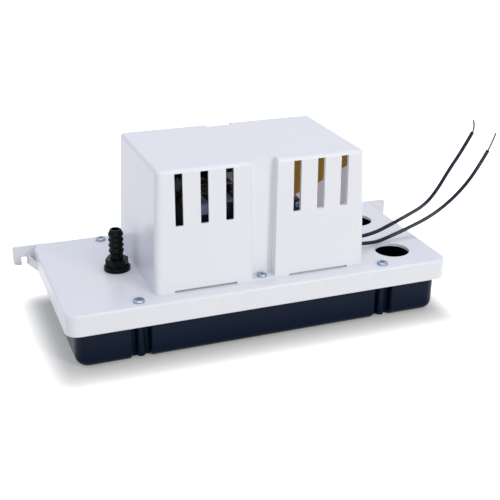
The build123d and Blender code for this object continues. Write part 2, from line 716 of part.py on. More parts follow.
def volute_outline(grow, duct):
    """The pump's plan: four quarter arcs, each larger than the last, and a duct off the widest point."""
    with BuildSketch() as outline:
        with BuildLine():
            radius = volute_start + grow
            centre = Vector(0, 0)
            for quarter in range(4):
                CenterArc(centre, radius, 90 * (quarter + 1), 90)
                end = radians(90 * (quarter + 2))
                if quarter < 3:
                    centre = centre - Vector(cos(end), sin(end)) * volute_step
                    radius = radius + volute_step
            top = centre.Y + radius
            Line((0, top), (0, volute_start + grow))
        make_face()
        with BuildLine():
            Polyline((0, volute_start - grow), (0, top), (-duct, top),
                     (-duct, volute_start - grow), close=True)
        make_face()
    return outline.sketch


volute_cavity = volute_outline(0, duct_length - cutwater)
volute_shell = volute_outline(pump_wall, duct_length)
with BuildSketch() as lug_arms:
    for angle in lug_angles:
        with Locations(Location((0, 0, 0), (0, 0, angle))):
            with Locations((lug_circle / 2, 0)):
                SlotCenterToCenter(lug_circle, 2 * lug_radius)

with BuildPart() as pump_housing:
    with BuildSketch(pump_plane.offset(volute_floor)):
        add(volute_shell)
        add(lug_arms.sketch)
    extrude(amount=volute_ceiling + pump_wall - volute_floor)
    with BuildSketch(pump_plane.offset(volute_floor)):
        add(volute_cavity)
    extrude(amount=volute_ceiling - volute_floor, mode=Mode.SUBTRACT)
    # column up to the tank cover, with its flange, screw bosses and drain windows
    with BuildSketch(pump_plane.offset(volute_ceiling)):
        Circle(column_radius)
    extrude(amount=tank_height - volute_ceiling)
    with BuildSketch(pump_plane.offset(tank_height - rim_thickness)):
        Circle(flange_radius)
    extrude(amount=rim_thickness)
    with Locations(*[(x, y, tank_height) for x, y in column_screws]):
        Cylinder(column_screw[0], column_screw[3], align=HANG)
    with BuildSketch(pump_plane.offset(volute_ceiling + pump_wall)):
        Circle(column_radius - pump_wall)
    extrude(amount=tank_height, mode=Mode.SUBTRACT)
    with BuildSketch(pump_plane.offset(volute_ceiling - 1)):
        Circle(shaft_radius + 1.0)
    extrude(amount=pump_wall + 2, mode=Mode.SUBTRACT)
    with BuildSketch(pump_plane.offset(volute_ceiling + pump_wall + 3)):
        for angle in (30, 150, 270):
            with Locations(Location((0, 0, 0), (0, 0, angle))):
                with Locations((column_radius, 0)):
                    Rectangle(column_radius, column_window)
    extrude(amount=11, mode=Mode.SUBTRACT)
    with Locations(*[(x, y, tank_height) for x, y in column_screws]):
        Cylinder(fit_hole(column_screw[2]) + 0.1, column_screw[3] - 1, align=HANG, mode=Mode.SUBTRACT)
    with BuildSketch(pump_plane.offset(volute_floor)):
        with Locations(*lug_places):
            Circle(fit_hole(volute_screw[2]) + 0.1)
    extrude(amount=volute_screw[3], mode=Mode.SUBTRACT)
    # round socket for the discharge tube in the end of the duct
    with BuildSketch(Plane(origin=pump_plane.from_local_coords((-duct_length, duct_middle, duct_z)),
                           z_dir=pump_plane.x_dir)):
        Circle(fit_hole(tube_radius))
    extrude(amount=socket_depth, mode=Mode.SUBTRACT)
    with BuildSketch(Plane(origin=pump_plane.from_local_coords((-duct_length, duct_middle, duct_z)),
                           z_dir=pump_plane.x_dir)):
        Circle(tube_bore)
    extrude(amount=cutwater + 1, mode=Mode.SUBTRACT)
pump_housing.part.label = "pump_housing"
export_step(pump_housing.part, "parts/pump_housing.step")

plate_bottom = volute_floor - 2.5
with BuildPart() as volute_cover:
    with BuildSketch(pump_plane.offset(plate_bottom)):
        add(volute_shell)
        add(lug_arms.sketch)
        Circle(eye_radius, mode=Mode.SUBTRACT)
        with Locations(*lug_places):
            Circle(fit_hole(volute_screw[2]) + 0.1, mode=Mode.SUBTRACT)
    extrude(amount=volute_floor - plate_bottom)
    # short feet hold the eye clear of the tank's floor
    with BuildSketch(pump_plane.offset(tank_wall)):
        with PolarLocations(volute_start - 4, strainer_feet, start_angle=45):
            SlotOverall(9.0, 3.0, rotation=90)
    extrude(amount=plate_bottom - tank_wall)
volute_cover.part.label = "volute_cover"
export_step(volute_cover.part, "parts/volute_cover.step")

with BuildPart() as pump_screws:
    with Locations(*[(x, y, deck) for x, y in column_screws]):
        add(pan_screw(*column_screw))
    with Locations(*[pump_plane.location * Location((x, y, plate_bottom), (180, 0, 0))
                     for x, y in lug_places]):
        add(pan_screw(*volute_screw))
pump_screws.part.label = "pump_screws"
export_step(pump_screws.part, "parts/pump_screws.step")

# ---------------------------------------------------------------- discharge tube and check valve
tube_start = pump_plane.from_local_coords((-duct_length + socket_depth, duct_middle, duct_z))
tube_corner = Vector(valve_x, valve_y, duct_z)
tube_end = Vector(valve_x, valve_y, valve_bottom + socket_depth)
with BuildPart() as discharge_tube:
    with BuildLine():
        FilletPolyline(tube_start, tube_corner, tube_end, radius=tube_bend)
    with BuildSketch(Plane(origin=tube_start, z_dir=tube_corner - tube_start)):
        Circle(tube_radius)
        Circle(tube_bore, mode=Mode.SUBTRACT)
    sweep()
discharge_tube.part.label = "discharge_tube"
export_step(discharge_tube.part, "parts/discharge_tube.step")

ball_chamber = ball_radius + 0.9
ring_bore = ball_radius - 1.2
ball_rest = seat_z + seat_ring + sqrt(ball_radius ** 2 - ring_bore ** 2) + 0.1
spigot_bottom = ball_rest + ball_radius + ball_lift + 0.2
valve_at = (valve_x, valve_y)
with BuildPart() as check_valve_body:
    with Locations((*valve_at, valve_bottom)):
        Cylinder(valve_radius, tank_height - valve_bottom, align=STAND)
    with Locations((*valve_at, tank_height)):
        Cylinder(valve_flange, rim_thickness, align=HANG)
    with Locations((*valve_at, valve_bottom)):
        Cylinder(fit_hole(tube_radius), socket_depth, align=STAND, mode=Mode.SUBTRACT)
        Cylinder(tube_bore, tank_height, align=STAND, mode=Mode.SUBTRACT)
    with Locations((*valve_at, seat_z)):
        Cylinder(ball_chamber, tank_height, align=STAND, mode=Mode.SUBTRACT)
    with Locations((*valve_at, spigot_bottom - 0.3)):
        Cylinder(fit_hole(valve_bore), tank_height, align=STAND, mode=Mode.SUBTRACT)
check_valve_body.part.label = "check_valve_body"
export_step(check_valve_body.part, "parts/check_valve_body.step")

with BuildPart() as valve_seat:
    with Locations((*valve_at, seat_z)):
        Cylinder(ball_chamber - shaft_fit, seat_ring, align=STAND)
        Cylinder(ring_bore, seat_ring, align=STAND, mode=Mode.SUBTRACT)
valve_seat.part.label = "valve_seat"
export_step(valve_seat.part, "parts/valve_seat.step")

with BuildPart() as valve_ball:
    with Locations((*valve_at, ball_rest)):
        Sphere(ball_radius)
valve_ball.part.label = "valve_ball"
export_step(valve_ball.part, "parts/valve_ball.step")

barb_tip_z = deck + barb_height
hex_foot = deck + barb_flange_height
crests = [barb_tip_z - barb_tip_height - k * barb_ring_pitch for k in range(barb_rings)]
valley_depth = (barb_ring_pitch - barb_ring_land) / 2
last_land = crests[-1] - barb_ring_land
with BuildPart() as discharge_barb:
    # half profile: bore, spigot, flange, neck, four rings with hollows between them, tapered tip
    with BuildSketch(Plane.XZ.offset(-valve_y)):
        with BuildLine():
            Polyline((valve_x + barb_ring, last_land), (valve_x + barb_neck, last_land - valley_depth),
                     (valve_x + barb_neck, hex_foot), (valve_x + barb_flange_radius - 0.8, hex_foot),
                     (valve_x + barb_flange_radius, hex_foot - 0.8), (valve_x + barb_flange_radius, deck),
                     (valve_x + valve_bore, deck), (valve_x + valve_bore, spigot_bottom),
                     (valve_x + barb_bore, spigot_bottom), (valve_x + barb_bore, barb_tip_z),
                     (valve_x + barb_tip, barb_tip_z), (valve_x + barb_ring, crests[0]))
            for crest in crests:
                Line((valve_x + barb_ring, crest), (valve_x + barb_ring, crest - barb_ring_land))
            for crest in crests[1:]:
                above = crest + barb_ring_pitch - barb_ring_land
                ThreePointArc((valve_x + barb_ring, above), (valve_x + barb_neck, (above + crest) / 2),
                              (valve_x + barb_ring, crest))
        make_face()
    revolve(axis=Axis((*valve_at, 0), (0, 0, 1)))
    with BuildSketch(Plane.XY.offset(hex_foot)):
        with Locations(valve_at):
            RegularPolygon(barb_hex / 2, 6, major_radius=False)
            Circle(barb_bore, mode=Mode.SUBTRACT)
    extrude(amount=barb_hex_height)
    # notches let water past the ball when it is up
    with Locations((*valve_at, spigot_bottom)):
        Box(2 * valve_bore + 1, barb_notch, 2 * barb_notch, mode=Mode.SUBTRACT)
        Box(barb_notch, 2 * valve_bore + 1, 2 * barb_notch, mode=Mode.SUBTRACT)
discharge_barb.part.label = "discharge_barb"
export_step(discharge_barb.part, "parts/discharge_barb.step")

# ---------------------------------------------------------------- float, rod and its guide
fork_z = pivot_z - float_travel / 2
fork_room = lever_sheet / 2 + clip_radius * sin(radians(half_tilt)) + 0.15
stop_z = deck + guide_flange_height + seat_gap
rod_bottom = float_bottom - clip_height - 0.4
rod_top = fork_z + fork_room + clip_height + 1.5
clip_levels = (float_bottom - clip_height, float_bottom + float_height, stop_z,
               fork_z - fork_room - clip_height, fork_z + fork_room)

with BuildPart() as float_block:
    with Locations((rod_x, switch_y, float_bottom)):
        Box(float_length, float_width, float_height, align=STAND)
    fillet(float_block.edges().filter_by(Axis.Z), float_edge * 1.5)
    fillet(float_block.edges().group_by(Axis.Z)[0] + float_block.edges().group_by(Axis.Z)[-1], float_edge)
    with Locations((rod_x, switch_y, float_bottom)):
        Cylinder(fit_hole(rod_radius), float_height, align=STAND, mode=Mode.SUBTRACT)
float_block.part.label = "float_block"
export_step(float_block.part, "parts/float_block.step")

with BuildPart() as float_rod:
    with Locations((rod_x, switch_y, rod_bottom)):
        Cylinder(rod_radius, rod_top - rod_bottom, align=STAND)
    chamfer(float_rod.edges().filter_by(GeomType.CIRCLE), 0.3)
float_rod.part.label = "float_rod"
export_step(float_rod.part, "parts/float_rod.step")

with BuildPart() as rod_clips:
    with Locations(*[(rod_x, switch_y, z) for z in clip_levels]):
        Cylinder(clip_radius, clip_height, align=STAND)
        Cylinder(fit_hole(rod_radius), clip_height, align=STAND, mode=Mode.SUBTRACT)
rod_clips.part.label = "rod_clips"
export_step(rod_clips.part, "parts/rod_clips.step")

with BuildPart() as rod_guide:
    with Locations((rod_x, switch_y, deck)):
        Cylinder(guide_radius, cover_wall + 2.0, align=HANG)
        Cylinder(guide_flange, guide_flange_height, align=STAND)
        Cylinder(fit_hole(rod_radius), 4 * (cover_wall + guide_flange_height), mode=Mode.SUBTRACT)
rod_guide.part.label = "rod_guide"
export_step(rod_guide.part, "parts/rod_guide.step")

# ---------------------------------------------------------------- switch bracket, folded from one sheet
half_gauge = bracket_gauge / 2
bracket_top = deck + bracket_rise
apron_back = apron_y + bracket_gauge
upright_back = upright_y + bracket_gauge
apron_points = [(apron_x[0] + along, deck + up) for along, up in apron_steps]
with BuildPart() as switch_bracket:
    with BuildSketch(Plane.YZ.offset(bracket_x[0])):
        with BuildLine():
            FilletPolyline((upright_back + bracket_foot_reach, deck + half_gauge),
                           (upright_y + half_gauge, deck + half_gauge),
                           (upright_y + half_gauge, bracket_top - half_gauge),
                           (apron_y + half_gauge, bracket_top - half_gauge),
                           (apron_y + half_gauge, deck + apron_steps[0][1] - 1), radius=bracket_fold)
        trace(line_width=bracket_gauge)
    extrude(amount=apron_x[1] - bracket_x[0])
    # the upright and its foot end where the roof and the apron go on
    with BuildSketch(Plane.XY.offset(deck)):
        with BuildLine():
            Polyline((bracket_x[1], upright_y - 4), (apron_x[1] + 1, upright_y - 4),
                     (apron_x[1] + 1, upright_back + bracket_foot_reach + 1),
                     (bracket_x[1], upright_back + bracket_foot_reach + 1), close=True)
        make_face()
    extrude(amount=bracket_rise + 1, mode=Mode.SUBTRACT)
    with BuildSketch(Plane.XY.offset(deck)):
        with BuildLine():
            Polyline((bracket_x[0] - 1, apron_y - 1), (apron_x[0], apron_y - 1), (apron_x[0], upright_y - 6),
                     (bracket_x[0] - 1, upright_y - 6), close=True)
        make_face()
    extrude(amount=bracket_rise + 1, mode=Mode.SUBTRACT)
    # lower edge of the apron
    with BuildSketch(Plane.XZ.offset(-apron_back)):
        with BuildLine():
            Polyline(*apron_points, (apron_x[1] + 1, apron_points[-1][1]), (apron_x[1] + 1, deck),
                     (apron_x[0] - 1, deck), (apron_x[0] - 1, apron_points[0][1]), close=True)
        make_face()
    extrude(amount=bracket_gauge + 2, mode=Mode.SUBTRACT)
    with Locations(*[(x, y, deck) for x, y in bracket_foot]):
        Cylinder(fit_hole(bracket_screw[2]) + 0.1, 4 * bracket_gauge, mode=Mode.SUBTRACT)
    # holes for the switch screws and the lever pin
    switch_bottom = pivot_z + lever_ear + 0.6
    hole_places = [(switch_x + s * switch_hole_pitch / 2,
                    switch_bottom + switch_height / 2 + s * switch_hole_step) for s in (-1, 1)]
    with BuildSketch(Plane.XZ.offset(-upright_back - 1)):
        with Locations(*hole_places):
            Circle(switch_hole)
        with Locations((pivot_x, pivot_z)):
            Circle(fit_hole(pin_radius))
    extrude(amount=bracket_gauge + 2, mode=Mode.SUBTRACT)
switch_bracket.part.label = "switch_bracket"
export_step(switch_bracket.part, "parts/switch_bracket.step")

with BuildPart() as bracket_screws:
    with Locations(*[(x, y, deck + bracket_gauge) for x, y in bracket_foot]):
        add(pan_screw(*bracket_screw))
bracket_screws.part.label = "bracket_screws"
export_step(bracket_screws.part, "parts/bracket_screws.step")

# ---------------------------------------------------------------- switches
switch_faces = {"pump_switch": switch_front, "safety_switch": switch_front + switch_depth + barrier}
plunger_x = pivot_x + plunger_offset
plunger_bottom = (pivot_z + lever_sheet / 2 / cos(radians(half_tilt))
                  - plunger_offset * tan(radians(half_tilt)) + plunger_gap)
plunger_stroke = lever_ratio * float_travel
plunger_top = switch_bottom + 2.5
for name, face in switch_faces.items():
    with BuildPart() as switch_body:
        with BuildSketch(Plane.XZ.offset(-face)):
            with Locations((switch_x, switch_bottom + switch_height / 2)):
                RectangleRounded(switch_length, switch_height, 1.0)
            with Locations(*hole_places):
                Circle(switch_hole, mode=Mode.SUBTRACT)
        extrude(amount=-switch_depth)
        with Locations((plunger_x, face + switch_depth / 2, switch_bottom)):
            Cylinder(fit_hole(plunger_radius), plunger_top - switch_bottom + plunger_stroke + 0.5,
                     align=STAND, mode=Mode.SUBTRACT)
    switch_body.part.label = name
    export_step(switch_body.part, f"parts/{name}.step")
    with BuildPart() as plunger:
        with Locations((plunger_x, face + switch_depth / 2, plunger_bottom)):
            Cylinder(plunger_radius, plunger_top - plunger_bottom, align=STAND)
        fillet(plunger.edges().group_by(Axis.Z)[0], plunger_radius * 0.8)
    plunger.part.label = name + "_plunger"
    export_step(plunger.part, f"parts/{name}_plunger.step")

with BuildPart() as switch_barrier:
    with BuildSketch(Plane.XZ.offset(-switch_front - switch_depth)):
        with Locations((switch_x, switch_bottom + switch_height / 2 + 1)):
            Rectangle(switch_length + 1.6, switch_height + 2)
        with Locations(*hole_places):
            Circle(switch_hole, mode=Mode.SUBTRACT)
    extrude(amount=-barrier)
switch_barrier.part.label = "switch_barrier"
export_step(switch_barrier.part, "parts/switch_barrier.step")

with BuildPart() as switch_terminals:
    for face in switch_faces.values():
        for x in (switch_x - 9, switch_x + 1, switch_x + 9):
            with Locations((x, face + switch_depth / 2, switch_bottom + switch_height)):
                Box(4.8, 0.8, 8.5, align=STAND)
                with Locations((0, 0, 6.2)):
                    Cylinder(0.8, 4, rotation=(90, 0, 0), mode=Mode.SUBTRACT)
switch_terminals.part.label = "switch_terminals"
export_step(switch_terminals.part, "parts/switch_terminals.step")

with BuildPart() as switch_screws:
    with Locations(*[Location((x, switch_front, z), (90, 0, 0)) for x, z in hole_places]):
        add(pan_screw(*switch_screw))
switch_screws.part.label = "switch_screws"
export_step(switch_screws.part, "parts/switch_screws.step")

with BuildPart() as switch_nuts:
    with BuildSketch(Plane.XZ.offset(-upright_back)):
        with Locations(*hole_places):
            RegularPolygon(2.75, 6, major_radius=False)
            Circle(switch_hole, mode=Mode.SUBTRACT)
    extrude(amount=-2.4)
switch_nuts.part.label = "switch_nuts"
export_step(switch_nuts.part, "parts/switch_nuts.step")

# ---------------------------------------------------------------- lever and its pin
tilt = radians(half_tilt)
lever_plane = Plane(origin=(pivot_x, switch_y, pivot_z), x_dir=(cos(tilt), 0, -sin(tilt)),
                    z_dir=(sin(tilt), 0, cos(tilt)))
ear_outer = switch_depth + barrier / 2 - seat_gap
fork_reach = rod_x - pivot_x
with BuildPart() as switch_lever:
    with BuildSketch(lever_plane.offset(-lever_sheet / 2)):
        with BuildLine():
            Polyline((lever_root, -ear_outer), (lever_flange, -ear_outer),
                     (lever_taper_end, -lever_waist), (lever_reach, -lever_waist),
                     (lever_reach, lever_waist), (lever_taper_end, lever_waist), (lever_flange, ear_outer),
                     (lever_root, ear_outer), close=True)
        make_face()
        with Locations((fork_reach + fork_depth / 2, 0)):
            fork_gap = 2 * (rod_radius + fork_slack)
            SlotOverall(fork_depth + fork_gap, fork_gap, mode=Mode.SUBTRACT)
    extrude(amount=lever_sheet)
    for side in (-1, 1):
        inner = side * ear_outer
        with BuildSketch(Plane(origin=(pivot_x, switch_y + inner, pivot_z), x_dir=lever_plane.x_dir,
                               z_dir=(0, -1, 0))):
            with BuildLine():
                Polyline((0, -lever_ear), (lever_flange, -lever_sheet / 2),
                         (lever_flange, lever_sheet / 2), (0, lever_ear), close=True)
            make_face()
            Circle(lever_ear)
            Circle(fit_hole(pin_radius), mode=Mode.SUBTRACT)
        extrude(amount=side * lever_ear_sheet)
switch_lever.part.label = "switch_lever"
export_step(switch_lever.part, "parts/switch_lever.step")

pin_front = switch_y - ear_outer - 1.6
with BuildPart() as lever_pin:
    with BuildSketch(Plane.XZ.offset(-upright_back)):
        with Locations((pivot_x, pivot_z)):
            Circle(pin_radius)
    extrude(amount=upright_back - pin_front)
    with BuildSketch(Plane.XZ.offset(-upright_back)):
        with Locations((pivot_x, pivot_z)):
            Circle(pin_radius + 0.9)
    extrude(amount=-0.7)
lever_pin.part.label = "lever_pin"
export_step(lever_pin.part, "parts/lever_pin.step")

with BuildPart() as pin_clip:
    with BuildSketch(Plane.XZ.offset(-pin_front - 1.2)):
        with Locations((pivot_x, pivot_z)):
            Circle(pin_radius + 1.6)
            Circle(fit_hole(pin_radius), mode=Mode.SUBTRACT)
    extrude(amount=0.7)
pin_clip.part.label = "pin_clip"
export_step(pin_clip.part, "parts/pin_clip.step")

# ---------------------------------------------------------------- leads
with BuildPart() as lead_bushing:
    with BuildSketch(Plane.YZ.offset(hood_length / 2 - 5)):
        with Locations((lead_y, lead_middle_z)):
            SlotCenterToCenter(lead_spread, 2 * bushing_half, rotation=90)
    extrude(amount=lead_exit_x - hood_length / 2 + 5)
    fillet(lead_bushing.edges().group_by(Axis.X)[-1], 0.8)
    for start, thickness in ((hood_length / 2, 1.4), (hood_length / 2 - 5, 1.6)):
        with BuildSketch(Plane.YZ.offset(start)):
            with Locations((lead_y, lead_middle_z)):
                SlotCenterToCenter(lead_spread, 2 * (bushing_half + bushing_flange), rotation=90)
        extrude(amount=thickness)
lead_bushing.part.label = "lead_bushing"
export_step(lead_bushing.part, "parts/lead_bushing.step")

lead_routes = {
    "lead_lower": [(lead_exit_x, lead_y, lead_lower_z), (lead_exit_x + 7.0, lead_y, lead_lower_z), (113.4, -26.0, 49.0),
                   (125.5, -22.0, 49.2), (147.4, -21.4, 55.8), (168.6, -20.2, 62.7), (186.9, -19.2, 73.2),
                   (203.4, -18.2, 87.3), (215.4, -17.4, 102.9), (222.8, -17.6, 116.0)],
    "lead_upper": [(lead_exit_x, lead_y, lead_upper_z), (lead_exit_x + 8.0, lead_y, lead_upper_z), (114.7, -25.0, 57.8),
                   (131.9, -20.5, 61.4), (148.2, -18.4, 66.6), (164.6, -16.8, 72.8), (176.3, -15.6, 84.4),
                   (188.0, -13.6, 101.2), (200.5, -11.1, 115.6), (211.1, -9.0, 131.0)],
}
strand_tips = {"lead_lower": (229.6, -16.8, 130.7), "lead_upper": (210.9, -9.0, 141.6)}


def bend_radii(route):
    """For each inner point, an arc as large as 0.45 of its shorter run allows."""
    radii = []
    for before, here, after in zip(route, route[1:], route[2:]):
        arriving = Vector(*here) - Vector(*before)
        leaving = Vector(*after) - Vector(*here)
        half_turn = radians(arriving.get_angle(leaving)) / 2
        radii.append(0.45 * min(arriving.length, leaving.length) / tan(half_turn))
    return radii


for name, route in lead_routes.items():
    radii = bend_radii(route)
    with BuildPart() as lead:
        with BuildLine() as path:
            FilletPolyline(*route, radius=radii)
        with BuildSketch(Plane(origin=route[0], z_dir=Vector(*route[1]) - Vector(*route[0]))):
            Circle(lead_radius)
        sweep()
    length = sum(edge.length for edge in path.line.edges())
    print(name, "radii", [round(r) for r in radii], "length", round(length, 1),
          "volume ratio", round(lead.part.volume / (pi * lead_radius ** 2 * length), 4))
    lead.part.label = name
    export_step(lead.part, f"parts/{name}.step")

# bared strands: on from the insulation's end, then a little bend to the tip
with BuildPart() as lead_strands:
    for name, route in lead_routes.items():
        end = Vector(*route[-1])
        onward = (end - Vector(*route[-2])).normalized()
        knee = end + onward * 4.0
        tip = Vector(*strand_tips[name])
        with BuildLine():
            FilletPolyline(end, knee, tip, radius=6.0)
        with BuildSketch(Plane(origin=end, z_dir=onward)):
            Circle(strand_radius)
        sweep()
lead_strands.part.label = "lead_strands"
export_step(lead_strands.part, "parts/lead_strands.step")
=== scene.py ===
# %% [markdown]
# # A low-profile condensate pump, dressed for its portrait
# The engineers' model is finished and packed: every moulding, screw and shaft is already in
# place, in metres. This notebook adds what a camera needs: finishes, two wire leads, lamps and a
# camera. We start by loading the fixed model. Rebuilding the solids here was never a choice,
# because a second copy would drift away from the first.

import json
from math import cos, pi, radians, sin

import bpy
import numpy as np
from mathutils import Matrix, Vector


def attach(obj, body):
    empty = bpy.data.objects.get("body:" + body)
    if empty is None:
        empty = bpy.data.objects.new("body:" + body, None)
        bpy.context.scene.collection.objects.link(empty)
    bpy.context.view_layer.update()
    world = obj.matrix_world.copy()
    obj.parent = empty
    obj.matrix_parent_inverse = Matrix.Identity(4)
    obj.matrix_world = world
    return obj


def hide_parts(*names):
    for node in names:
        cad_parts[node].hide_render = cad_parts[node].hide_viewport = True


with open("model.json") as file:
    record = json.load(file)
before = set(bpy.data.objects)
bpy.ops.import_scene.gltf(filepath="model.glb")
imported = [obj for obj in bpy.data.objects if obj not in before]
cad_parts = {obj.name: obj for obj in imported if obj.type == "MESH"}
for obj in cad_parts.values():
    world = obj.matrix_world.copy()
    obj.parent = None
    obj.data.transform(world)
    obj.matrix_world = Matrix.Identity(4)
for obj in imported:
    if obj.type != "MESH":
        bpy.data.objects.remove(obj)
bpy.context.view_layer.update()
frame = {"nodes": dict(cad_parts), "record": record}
nodes = frame["nodes"]
slot_of = {part["node"]: part["material_slot"] for part in frame["record"]["subparts"]}

# %% [markdown]
# ## Camera
# The pump is seen from its front left corner and from above, through a longish lens, so that the
# box edges stay nearly parallel. We could aim the camera with a Track To constraint, but three
# unit vectors say the same with no hidden state: back points from the object to the camera,
# right and up span the picture, and a small roll turns those two about back.

# %% Place the camera
scene = bpy.context.scene
scene.view_settings.view_transform = "Standard"

CAMERA_AZIMUTH = radians(-21.01)
CAMERA_HEIGHT_ANGLE = radians(23.11)
CAMERA_ROLL = radians(0.48)
CAMERA_TARGET = Vector((0.0108, 0.0, 0.0464))
CAMERA_DISTANCE = 0.8049
SENSOR_WIDTH = 36.0
LENS = 69.6
NEAREST, FARTHEST = 0.01, 50       # metres between which the camera sees

level = cos(CAMERA_HEIGHT_ANGLE)
back = Vector((sin(CAMERA_AZIMUTH) * level, -cos(CAMERA_AZIMUTH) * level, sin(CAMERA_HEIGHT_ANGLE)))
right = Vector((cos(CAMERA_AZIMUTH), sin(CAMERA_AZIMUTH), 0))
up = back.cross(right)
rolled_right = right * cos(CAMERA_ROLL) + up * sin(CAMERA_ROLL)
rolled_up = up * cos(CAMERA_ROLL) - right * sin(CAMERA_ROLL)

lens_data = bpy.data.cameras.new("portrait_lens")
lens_data.lens = LENS
lens_data.sensor_width = SENSOR_WIDTH
lens_data.clip_start = NEAREST
lens_data.clip_end = FARTHEST
camera = bpy.data.objects.new("portrait_camera", lens_data)
turn = Matrix((rolled_right, rolled_up, back)).transposed()
camera.matrix_world = Matrix.Translation(CAMERA_TARGET + back * CAMERA_DISTANCE) @ turn.to_4x4()
scene.collection.objects.link(camera)
scene.camera = camera
print("camera at", [round(v, 4) for v in camera.location])

# %% [markdown]
# ## Node maths as arithmetic
# A material graph is a formula, so it is pleasant to write it as one. Wire holds an output socket
# and answers to +, - and * by adding a Math node. Graph owns one node tree and makes every other
# kind of node, and Finish is a Graph with a principled shader at its end. The alternative,
# placing and linking each node by hand, hides the formula among a hundred lines of links.

# %% A wire, a graph and a finish
class Wire:
    """One output socket. Arithmetic on it adds Math nodes and returns the new wire."""

    def __init__(self, owner, socket):
        self.owner = owner
        self.socket = socket

    def maths(self, operation, *values):
        return self.owner.node("ShaderNodeMath", {"operation": operation}, *values)

    def __add__(self, other):
        return self.maths("ADD", self, other)

    def __radd__(self, other):
        return self.maths("ADD", other, self)

    def __sub__(self, other):
        return self.maths("SUBTRACT", self, other)

    def __rsub__(self, other):
        return self.maths("SUBTRACT", other, self)

    def __mul__(self, other):
        return self.maths("MULTIPLY", self, other)

    def __rmul__(self, other):
        return self.maths("MULTIPLY", other, self)

    def wave(self):
        """The sine of the wire."""
        return self.maths("SINE", self)

    def size(self):
        """The wire without its sign."""
        return self.maths("ABSOLUTE", self)

    def between(self, low, high):
        """0 below low, 1 above high and a smooth step from one to the other."""
        settings = {"interpolation_type": "SMOOTHSTEP"}
        return self.owner.node("ShaderNodeMapRange", settings, self, low, high, 0.0, 1.0)


class Graph:
    """A node tree, emptied. Every node in it comes from the method node."""

    def __init__(self, tree):
        self.tree = tree
        tree.nodes.clear()

    def feed(self, socket, value):
        if isinstance(value, Wire):
            self.tree.links.new(value.socket, socket)
        elif value is not None:
            socket.default_value = value

    def node(self, kind, settings, *values, output=0, **named):
        """A node of this kind: its settings first, then the values or wires of its sockets.

        None leaves a socket as it is. An output node has nothing to give back.
        """
        made = self.tree.nodes.new(kind)
        for key, value in settings.items():
            setattr(made, key, value)
        for socket, value in zip(made.inputs, values):
            self.feed(socket, value)
        for key, value in named.items():
            self.feed(made.inputs[key.replace("_", " ")], value)
        return Wire(self, made.outputs[output]) if made.outputs else None

    def vector(self, operation, *values, output="Vector"):
        """A vector node of this operation."""
        return self.node("ShaderNodeVectorMath", {"operation": operation}, *values, output=output)

    def blend(self, mask, first, second):
        """A colour that goes from first to second as the mask goes from 0 to 1."""
        ends = [value if isinstance(value, Wire) else (*value, 1.0) for value in (first, second)]
        unused = [None] * 5          # the node's sockets for numbers and vectors
        return self.node("ShaderNodeMix", {"data_type": "RGBA"}, mask, *unused, *ends, output=2)

    def seen_directly(self):
        """1 for camera, glossy and transmission rays, else 0."""
        camera, glossy, through = [
            self.node("ShaderNodeLightPath", {}, output=f"Is {ray} Ray")
            for ray in ("Camera", "Glossy", "Transmission")]
        return camera.maths("MAXIMUM", camera.maths("MAXIMUM", camera, glossy), through)


class Finish(Graph):
    """One material: a principled shader and the nodes that feed it."""

    def __init__(self, name):
        self.material = bpy.data.materials.new(name)
        self.material.use_nodes = True
        super().__init__(self.material.node_tree)
        surface = self.node("ShaderNodeBsdfPrincipled", {})
        self.shader = surface.socket.node
        self.node("ShaderNodeOutputMaterial", {}, surface)
        self.place = self.node("ShaderNodeTexCoord", {}, output="Object")

    def noise(self, scale, detail=2.0, stretch=(1, 1, 1)):
        """Cloudy noise in the object's own space, scale in cells per metre times stretch."""
        stretched = self.vector("MULTIPLY", self.place, stretch)
        return self.node("ShaderNodeTexNoise", {}, Vector=stretched, Scale=scale, Detail=detail)

    def axis(self, name):
        """X, Y or Z of the place, in metres."""
        return self.node("ShaderNodeSeparateXYZ", {}, self.place, output=name)

    def relief(self, height, depth, softened=0.0):
        """The surface normal after a bump of this depth in metres, over softly rounded edges."""
        smooth = None
        if softened:
            smooth = self.node("ShaderNodeBevel", {"samples": 4}, Radius=softened)
        return self.node("ShaderNodeBump", {}, Strength=1.0, Distance=depth, Height=height,
                         Normal=smooth)

    def set(self, **sockets):
        """Feeds the shader's own sockets, an underscore standing for a space."""
        for key, value in sockets.items():
            if isinstance(value, tuple) and len(value) == 3:
                value = (*value, 1.0)
            self.feed(self.shader.inputs[key.replace("_", " ")], value)
        return self.material


# %% [markdown]
# ## Mouldings
# The tank, its cover and the motor cover are glossy ABS from a polished tool. Such a face isn't a
# mirror: it has a faint orange peel a millimetre or two across, and the gloss varies a little
# where the flow cooled unevenly. A flat colour with one roughness looks like paper, so a slow
# cloud of noise drifts between two close colours, and cloud and fine grain together move the
# roughness by a few hundredths. The grain also lifts the surface by some microns, and a bevel
# node rounds the knife edges of the solids.

# %% Moulded plastics
CLOUD_SCALE, GRAIN_SCALE = 22.0, 620.0       # noise cells per metre
CLOUD_ROUGH, GRAIN_ROUGH = 0.06, 0.03        # how far each moves the roughness
PLASTIC_IOR = 1.53
POLISHED_PEEL, DULL_PEEL = 9e-6, 2e-5        # height of the orange peel in metres


def moulded_skin(made, gloss, peel, edge):
    """The cloud, the roughness and the normal that all moulded faces share."""
    cloud, grain = made.noise(CLOUD_SCALE), made.noise(GRAIN_SCALE, 1.0)
    rough = gloss + (cloud - 0.5) * CLOUD_ROUGH + (grain - 0.5) * GRAIN_ROUGH
    return cloud, rough, made.relief(grain, peel, edge)


